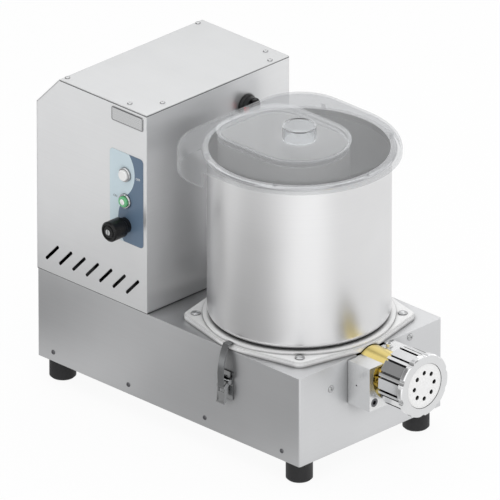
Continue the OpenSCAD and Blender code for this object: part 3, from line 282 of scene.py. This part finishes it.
def solid_clear(name):
    """A solid clear piece, which bends what is behind it."""
    nt = start(name)
    wide = noise(nt, 60, 2.0, 0.5)
    glass = add(nt, "ShaderNodeBsdfPrincipled", Transmission_Weight=1.0, IOR=1.49,
                Base_Color=mixed(nt, wide, (0.86, 0.87, 0.88), (0.93, 0.94, 0.95)),
                Roughness=varied(nt, wide, 0.02, 0.06))
    end(nt, lets_light_in(nt, glass.outputs[0]))


LEVEL = (2, 2, 900)     # grain that runs level round upright walls
ALONG = (900, 2, 900)   # from front to back
SPUN = (3, 3, 1100)     # round an upright axis
TURNED = (40, 900, 40)  # round the barrel's axis
COLUMN_MIDDLE, BASE_MIDDLE = (0, 150, 336), (0, 0, 105)    # mm, of the two hollow housings
ROOF_SEAM, BASE_SEAM = 494, 176.4    # heights in mm of the joints above and below the column
COLUMN_SHEET = 44.5                  # y in mm behind which the column covers the base
POT_RIM = 444                        # height in mm where the pot's rolled rim begins

finish("satin_steel", (0.80, 0.805, 0.812), 0.34, 0.8, LEVEL, 0.0006, 0.012, 0.02, edge=1.3,
       recess=4, recess_shade_tone=0.12, hollow=COLUMN_MIDDLE, seams=(BASE_SEAM, ROOF_SEAM))
finish("roof_steel", (0.62, 0.625, 0.63), 0.36, 1.0, ALONG, 0.0006, 0.012, 0.02, edge=1.3)
finish("base_steel", (0.69, 0.695, 0.705), 0.34, 1.0, LEVEL, 0.0006, 0.012, 0.02, edge=1.3,
       recess=45, recess_shade_tone=0.2, hollow=BASE_MIDDLE, covered=COLUMN_SHEET)
finish("pot_steel", (0.79, 0.79, 0.795), 0.34, 1.0, SPUN, 0.0005, 0.01, 0.02,
       polished_above=POT_RIM)
finish("chute_steel", (0.86, 0.86, 0.865), 0.3, 0.75, SPUN, 0.0005, 0.01, 0.02)
# painted reflection: this polished steel is nearly white and hardly metallic, so it stays as bright
# as a mirror of a bright room
finish("polished_steel", (1.0, 1.0, 1.0), 0.1, 0.1, 30, 0.0008, 0.01, 0.04, coat=0.6,
       specular=0.8, edge=0.8, recess=7, recess_shade_tone=0.12)
finish("chrome", (0.50, 0.505, 0.51), 0.09, 1.0, 90, 0.001, 0.02, 0.04, recess=5,
       recess_shade_tone=0.04)
finish("latch_steel", (0.50, 0.505, 0.51), 0.14, 1.0, (90, 90, 900), 0.001, 0.03, 0.05,
       recess=6, recess_shade_tone=0.1)
finish("claw_steel", (0.28, 0.285, 0.29), 0.18, 1.0, (90, 90, 900), 0.001, 0.03, 0.05,
       recess=6, recess_shade_tone=0.1)
finish("machined_aluminium", (0.82, 0.825, 0.83), 0.24, 0.85, TURNED, 0.001, 0.015, 0.04,
       recess=2, recess_shade_tone=0.2)
finish("nut_aluminium", (0.79, 0.795, 0.80), 0.12, 1.0, TURNED, 0.001, 0.015, 0.03,
       recess=9, recess_shade_tone=0.06)
finish("cast_aluminium", (0.42, 0.43, 0.44), 0.5, 1.0, 420, 0.12, 0.12, 0.2, recess=90,
       recess_shade_tone=0.1)
finish("brass", (0.86, 0.68, 0.25), 0.16, 1.0, TURNED, 0.001, 0.03, recess=8, recess_shade_tone=0.25)
finish("dark_steel", (0.16, 0.16, 0.17), 0.32, 1.0, TURNED, 0.002, 0.04, recess=4)
finish("die_white", (0.97, 0.97, 0.965), 0.28, 0.0, TURNED, 0.002, 0.01, coat=0.3, recess=9,
       recess_shade_tone=0.01)
finish("rubber", (0.012, 0.012, 0.013), 0.55, 0.0, 900, 0.04, 0.15, 0.2)
finish("black_plastic", (0.005, 0.005, 0.0055), 0.3, 0.0, 1300, 0.01, 0.1, 0.1, specular=0.3)
finish("white_plastic", (0.84, 0.84, 0.83), 0.22, 0.0, 800, 0.003, 0.02, coat=0.4)
finish("green_plastic", (0.12, 0.46, 0.20), 0.22, 0.0, 800, 0.003, 0.05, coat=0.4)
finish("red_plastic", (0.75, 0.02, 0.03), 0.25, 0.0, 800, 0.003)
finish("label_light", (0.59, 0.70, 0.755), 0.38, 0.0, 1500, 0.004, 0.02)
finish("label_dark", (0.115, 0.175, 0.255), 0.38, 0.0, 1500, 0.004, 0.03)
finish("bare_plate", (0.60, 0.605, 0.61), 0.28, 1.0, (3, 3, 900), 0.001, 0.02)
finish("motor_paint", (0.06, 0.12, 0.25), 0.42, 0.0, 350, 0.06, 0.08, 0.15, recess=90,
       recess_shade_tone=0.1)
finish("housed_white", (0.7, 0.7, 0.69), 0.35, 0.0, 800, 0.003, 0.03, recess=90,
       recess_shade_tone=0.06)
clear("clear", 0.08, 0.75, (0.855, 0.858, 0.862))
clear("clear_hatch", 0.15, 0.8)
solid_clear("clear_knob")

# Which finish a node takes where the record's slot is too coarse
own = {
    "column_roof": "roof_steel", "base_housing": "base_steel", "bottom_plate": "base_steel",
    "gearbox_stand": "base_steel", "pot": "pot_steel", "chute": "chute_steel",
    "hatch": "clear_hatch", "hatch_knob": "clear_knob", "ring_nut": "nut_aluminium",
    "barrel_clamp": "machined_aluminium", "capacitor": "housed_white",
    "contactor": "housed_white", "off_bezel": "latch_steel", "on_bezel": "latch_steel",
}
# Width in mm of the bevel on a node's edges
soft_edges = {
    "lid": 0.5, "hatch": 0.5, "hatch_knob": 0.8, "front_block": 0.8, "block_bolts": 0.4,
    "barrel": 0.4, "barrel_bolts": 0.3, "barrel_clamp": 0.4, "ring_nut": 0.5, "die": 0.4,
    "knob_insert": 0.3, "selector_cap": 0.6, "nameplate": 0.3, "switch_box": 0.8,
    "worm_gearbox": 1.5, "drive_gearbox": 1.5, "contactor": 1.0,
}
for side in ("left", "right"):
    for part, steel, width in (("plate", "latch_steel", 0.3), ("lever", "latch_steel", 0.3),
                               ("claw", "claw_steel", 0.25)):
        own[f"latch_{part}_{side}"] = steel
        soft_edges[f"latch_{part}_{side}"] = width

WELD = 0.01 * MM                  # joins what the import split
BEVEL_ANGLE = math.radians(35)    # edges sharper than this get the bevel
SPLIT_ANGLE = math.radians(32)    # and those sharper than this stay crisp

slot_of = {row["node"]: row["material_slot"] for row in frame["record"]["subparts"]}
for name, node in nodes.items():
    node.data.materials.clear()
    node.data.materials.append(finishes[own.get(name, slot_of[name])])
    for face in node.data.polygons:
        face.use_smooth = True
    node.modifiers.new("weld", "WELD").merge_threshold = WELD
    if name in soft_edges:
        bevel = node.modifiers.new("bevel", "BEVEL")
        bevel.width = soft_edges[name] * MM
        bevel.segments = 2
        bevel.limit_method = "ANGLE"
        bevel.angle_limit = BEVEL_ANGLE
    node.modifiers.new("edges", "EDGE_SPLIT").split_angle = SPLIT_ANGLE
    if name in soft_edges:
        node.modifiers.new("flats", "WEIGHTED_NORMAL").weight = 100


# Added pieces, whose material has the name of their slot

def hang(name, mesh, slot, body="machine", matrix=Matrix()):
    """A piece of that mesh, on its body."""
    piece = bpy.data.objects.new(name, mesh)
    bpy.context.scene.collection.objects.link(piece)
    piece.matrix_world = matrix
    mesh.materials.clear()
    mesh.materials.append(finishes[slot])
    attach(piece, body)


def mesh_of(bm, name):
    """The mesh of what bm holds, with its faces turned outwards."""
    bmesh.ops.recalc_face_normals(bm, faces=bm.faces)
    mesh = bpy.data.meshes.new(name)
    bm.to_mesh(mesh)
    bm.free()
    return mesh


def turned(name, outline, matrix, slot, body="machine", steps=28):
    """A turned piece, from a half outline of radius and height in mm."""
    bm = bmesh.new()
    rings = []
    for r, z in outline:
        if r == 0:
            rings.append([bm.verts.new((0, 0, z * MM))] * steps)
        else:
            rings.append([bm.verts.new((r * MM * math.cos(a), r * MM * math.sin(a), z * MM))
                          for a in (2 * math.pi * i / steps for i in range(steps))])
    for lower, upper in zip(rings, rings[1:]):
        for i in range(steps):
            j = (i + 1) % steps
            corners = tuple(dict.fromkeys((lower[i], lower[j], upper[j], upper[i])))
            if len(corners) > 2:
                bm.faces.new(corners)
    mesh = mesh_of(bm, name)
    for face in mesh.polygons:
        face.use_smooth = True
    hang(name, mesh, slot, body, matrix)


def facing(point, direction):
    """Stands a piece's z along a direction at a point given in mm."""
    turn = Vector(direction).to_track_quat("Z", "Y").to_matrix().to_4x4()
    return Matrix.Translation(Vector(point) * MM) @ turn


DOME_STEPS = 7
HEAD_SUNK = 0.4                               # mm that a screw head goes into its sheet
CROWN, RECESS_TOP, RECESS_FLOOR = 0.34, 0.3, 0.22    # shares of its radius
RECESS_DEPTH = 0.5                            # share of its height


def dome(radius, height):
    """Half outline of a domed screw head, with a small recess for the driver in its crown."""
    arc = [(radius * math.cos(a), height * math.sin(a))
           for a in (math.pi / 2 * i / DOME_STEPS for i in range(DOME_STEPS + 1))]
    crown = [(r, z) for r, z in arc if r > radius * CROWN]
    top = crown[-1][1]
    floor_z = top - height * RECESS_DEPTH
    return [(radius, -HEAD_SUNK), *crown, (radius * RECESS_TOP, top),
            (radius * RECESS_FLOOR, floor_z), (0, floor_z)]


LEFT, RIGHT, FRONT, BACK, UP = (-1, 0, 0), (1, 0, 0), (0, -1, 0), (0, 1, 0), (0, 0, 1)
base_low, base_high = (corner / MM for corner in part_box("base_housing"))
roof_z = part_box("column_roof")[1].z / MM

ROOF_SCREWS = ((-135, 219), (-134, 91), (-98.5, 59), (134.6, 78.6), (117, 52), (135, 219))
for i, (x, y) in enumerate(ROOF_SCREWS):
    turned(f"roof_screw_{i + 1}", dome(4.2, 2.2), facing((x, y, roof_z), UP), "chrome")

SIDE_SCREWS_Y, SIDE_SCREWS_Z = (238.7, 82.2, -76, -234.4), 48.6
for side, x, outward in (("left", base_low.x, LEFT), ("right", -base_low.x, RIGHT)):
    for i, y in enumerate(SIDE_SCREWS_Y):
        turned(f"base_screw_{side}_{i + 1}", dome(3.6, 1.8),
               facing((x, y, SIDE_SCREWS_Z), outward), "dark_steel")

FRONT_SCREWS = ((-82.6, 139), (82.1, 167))
for i, (x, z) in enumerate(FRONT_SCREWS):
    turned(f"front_screw_{i + 1}", dome(5.6, 2.4), facing((x, base_low.y, z), FRONT), "chrome")

REAR_SCREWS = ((-139, 196), (139, 196), (-139, 320), (139, 320), (-139, 434), (139, 434))
for i, (x, z) in enumerate(REAR_SCREWS):
    turned(f"rear_screw_{i + 1}", dome(3.6, 1.8), facing((x, base_high.y, z), BACK), "chrome")

# The small blind hole low on the block's left face, as a dark disc of painted shade where the
# hole's depth would be in shadow
block_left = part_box("front_block")[0].x / MM
turned("block_hole", [(1.3, -0.2), (1.3, 0.05), (0, 0.05)],
       facing((block_left, -289, 139), LEFT), "rubber")


RIM_STEPS = 6    # in each corner


def rim(name, node, slot, radius, inset, width, height):
    """A raised rim on a flat plate that faces left and has rounded corners, in mm."""
    low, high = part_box(node)
    middle_y, middle_z = (low.y + high.y) / 2, (low.z + high.z) / 2
    half_y, half_z = (high.y - low.y) / 2, (high.z - low.z) / 2
    sunk = -0.05
    bm = bmesh.new()
    rings = []
    for back, lift in ((inset, sunk), (inset, height), (inset + width, height),
                       (inset + width, sunk)):
        ring = []
        for corner, (side_y, side_z) in enumerate(((1, 1), (-1, 1), (-1, -1), (1, -1))):
            for step in range(RIM_STEPS + 1):
                a = math.pi / 2 * (corner + step / RIM_STEPS)
                r = (radius - back) * MM
                y = side_y * (half_y - radius * MM) + r * math.cos(a)
                z = side_z * (half_z - radius * MM) + r * math.sin(a)
                ring.append(bm.verts.new((low.x - lift * MM, middle_y + y, middle_z + z)))
        rings.append(ring)
    for ring, after in zip(rings, rings[1:] + rings[:1]):
        for j in range(len(ring)):
            k = (j + 1) % len(ring)
            bm.faces.new((ring[j], ring[k], after[k], after[j]))
    hang(name, mesh_of(bm, name), slot)


rim("nameplate_rim", "nameplate", "dark_steel", radius=2.5, inset=0.1, width=0.8, height=0.2)

WORD_HEIGHT, WORD_DEPTH = 5.2, 0.05
label_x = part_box("label_dark")[0].x / MM


def word(name, text, y, z, slot):
    """A generic word on the label. It reads from back to front, so its x runs along -Y."""
    curve = bpy.data.curves.new(name, "FONT")
    curve.body = text
    curve.size = WORD_HEIGHT * MM
    curve.extrude = WORD_DEPTH * MM
    curve.align_x = curve.align_y = "CENTER"
    text_object = bpy.data.objects.new(name, curve)
    bpy.context.scene.collection.objects.link(text_object)
    bpy.context.view_layer.update()
    mesh = bpy.data.meshes.new_from_object(text_object)
    bpy.data.objects.remove(text_object)
    turn = Matrix(((0, 0, -1), (-1, 0, 0), (0, 1, 0))).to_4x4()
    place = Matrix.Translation(Vector((label_x - WORD_DEPTH, y, z)) * MM)
    hang(name, mesh, slot, matrix=place @ turn)


word("off_word_mark", "OFF", 60.5, 387.5, "white_plastic")
word("on_word_mark", "ON", 107.5, 347, "dark_steel")

# Pale centre of the green button
on_low, on_high = (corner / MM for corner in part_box("on_button"))
on_middle = (on_low + on_high) / 2
turned("on_button_centre", [(4.6, -0.2), (4.6, 0.1), (4.2, 0.25), (0, 0.35)],
       facing((on_low.x, on_middle.y, on_middle.z), LEFT), "white_plastic", "on_button")


# Studio

FALL_OFF = (0.4, 1.2)     # shares of its reach where a painted tone on the floor starts to fall, and ends


def seen_directly(nt, path):
    """1 where the camera sees a surface, also through glass."""
    return maths(nt, "MAXIMUM", path.outputs["Is Camera Ray"], path.outputs["Is Transmission Ray"])


def near(nt, centre, reach):
    """1 round a place on the floor, falling softly to 0 at its reach along each axis, in metres."""
    spot = add(nt, "ShaderNodeMapping", Vector=coordinates(nt),
               Location=(*(-c / r for c, r in zip(centre, reach)), 0),
               Scale=(*(1 / r for r in reach), 1))
    away = vectors(nt, "LENGTH", spot.outputs["Vector"])
    return ramp(nt, away, *FALL_OFF, 1, 0, "SMOOTHSTEP")


FLOOR_RADIUS = 14.0
FLOOR_DROP = 0.0002       # under the feet, so that no faces coincide
PLAIN_FLOOR = (0.86, 0.86, 0.86, 1)
WHITE = (1, 1, 1, 1)
WHITENED = 0.93           # how much of the floor is white to the camera; the rest is lit
MIRRORED = 0.88           # the glow that metal sees of it, apart from these places of painted shade and light: centre, reach, tone
FLOOR_SHADE_AND_LIGHT = (
    ((-0.55, 0.0), (0.6, 0.45), 0.40), ((-0.22, 0.33), (0.2, 0.2), 0.64),
    ((-0.33, 0.58), (0.2, 0.32), 0.32), ((-0.55, -0.95), (0.5, 0.55), 1.2),
)


def floor_material():
    """White to the camera, with the object's shadow. Metal sees instead a glow with painted shade
    and
    light: greyer on the left, so that the walls show darker towards the front and the table, and
    brighter in front."""
    material = bpy.data.materials.new("studio_floor")
    nt = tree(material)
    path = nt.nodes.new("ShaderNodeLightPath")
    plain = add(nt, "ShaderNodeBsdfDiffuse", Color=PLAIN_FLOOR)
    white = add(nt, "ShaderNodeEmission", Color=WHITE, Strength=1.0)
    # painted shade near the machine and a painted pool of light in front, seen only in reflections
    tone = (MIRRORED,) * 3
    for centre, reach, shade in FLOOR_SHADE_AND_LIGHT:
        tone = mixed(nt, near(nt, centre, reach), tone, (shade,) * 3)
    painted_reflection = add(nt, "ShaderNodeEmission", Color=tone, Strength=1.0)
    seen = joined(nt, ramp(nt, seen_directly(nt, path), 0, 1, 0, WHITENED), plain.outputs[0],
                  white.outputs[0])
    end(nt, joined(nt, path.outputs["Is Glossy Ray"], seen, painted_reflection.outputs[0]))
    return material


bm = bmesh.new()
bmesh.ops.create_circle(bm, cap_ends=True, radius=FLOOR_RADIUS, segments=96)
floor_mesh = bpy.data.meshes.new("studio_floor")
bm.to_mesh(floor_mesh)
bm.free()
floor = bpy.data.objects.new("studio_floor", floor_mesh)
floor.location.z = -FLOOR_DROP
bpy.context.scene.collection.objects.link(floor)
floor_mesh.materials.append(floor_material())

# The room is darker above, and darker or lighter round some directions, as cards would make it.
# Some are behind softboxes, whose light adds to the room's where polished faces reflect it.
ROOM_HEIGHTS, ROOM_TONES = (0.3, 0.95), (0.85, 0.3)    # upward part of a direction, and tone
CARDS = (((0.64, 0.64, 0.43), 1.25), ((-0.65, 0.6, 0.47), 0.45), ((-0.61, -0.57, 0.55), 0.2),
         ((0.72, -0.49, 0.42), 0.25))                  # direction, and share of the room's tone
CARD_EDGE = (0.78, 0.95)    # cosines of the angles from its middle where a card starts and is full
world = bpy.data.worlds.new("studio")
bpy.context.scene.world = world
nt = tree(world)
sight_line = coordinates(nt, "Generated")
shade = ramp(nt, part_of(nt, sight_line, "Z"), *ROOM_HEIGHTS, *ROOM_TONES)
for direction, share in CARDS:
    towards = vectors(nt, "DOT_PRODUCT", sight_line, Vector(direction).normalized())
    shade = maths(nt, "MULTIPLY", shade, ramp(nt, towards, *CARD_EDGE, 1, share))
room = add(nt, "ShaderNodeBackground", Color=shade, Strength=1.0)
white = add(nt, "ShaderNodeBackground", Color=WHITE)
path = nt.nodes.new("ShaderNodeLightPath")
add(nt, "ShaderNodeOutputWorld", Surface=joined(nt, seen_directly(nt, path), room.outputs[0],
                                                white.outputs[0]))

MACHINE = Vector((0, -0.05, 0.2))    # where the softboxes look
for name, place, size, power in (("key", (-1.9, -1.6, 2.2), (4.2, 4.2), 60),
                                 ("fill", (2.2, -1.5, 1.5), (2.8, 3.2), 29),
                                 ("top", (0.3, 0.6, 2.6), (3.4, 3.4), 42)):
    light = bpy.data.lights.new(name, "AREA")
    light.shape = "RECTANGLE"
    light.size, light.size_y = size
    light.energy = power
    lamp = bpy.data.objects.new(name, light)
    lamp.location = place
    lamp.rotation_mode = "QUATERNION"
    lamp.rotation_quaternion = (Vector(place) - MACHINE).to_track_quat("Z", "Y")
    bpy.context.scene.collection.objects.link(lamp)

# Camera: a very long lens, because the photograph shows no perspective. Its direction, the point
# in the middle of the picture and the scale were solved from the base's and the column's edges.
PICTURE_WIDTH, MM_PER_PIXEL = 500, 1.4626
FOCAL_LENGTH, SENSOR_WIDTH = 1500, 36    # mm
sight = Vector((0.6414, 0.6373, -0.4272)).normalized()
aim = Vector((-0.0119, -0.0347, 0.2605))
away = PICTURE_WIDTH * MM_PER_PIXEL * MM * FOCAL_LENGTH / SENSOR_WIDTH
lens = bpy.data.cameras.new("camera")
lens.lens, lens.sensor_width = FOCAL_LENGTH, SENSOR_WIDTH
lens.clip_start, lens.clip_end = 1.0, away * 3
camera = bpy.data.objects.new("camera", lens)
camera.location = aim - sight * away
camera.rotation_mode = "QUATERNION"
camera.rotation_quaternion = sight.to_track_quat("-Z", "Y")
bpy.context.scene.collection.objects.link(camera)
bpy.context.scene.camera = camera
bpy.context.scene.view_settings.view_transform = "Standard"
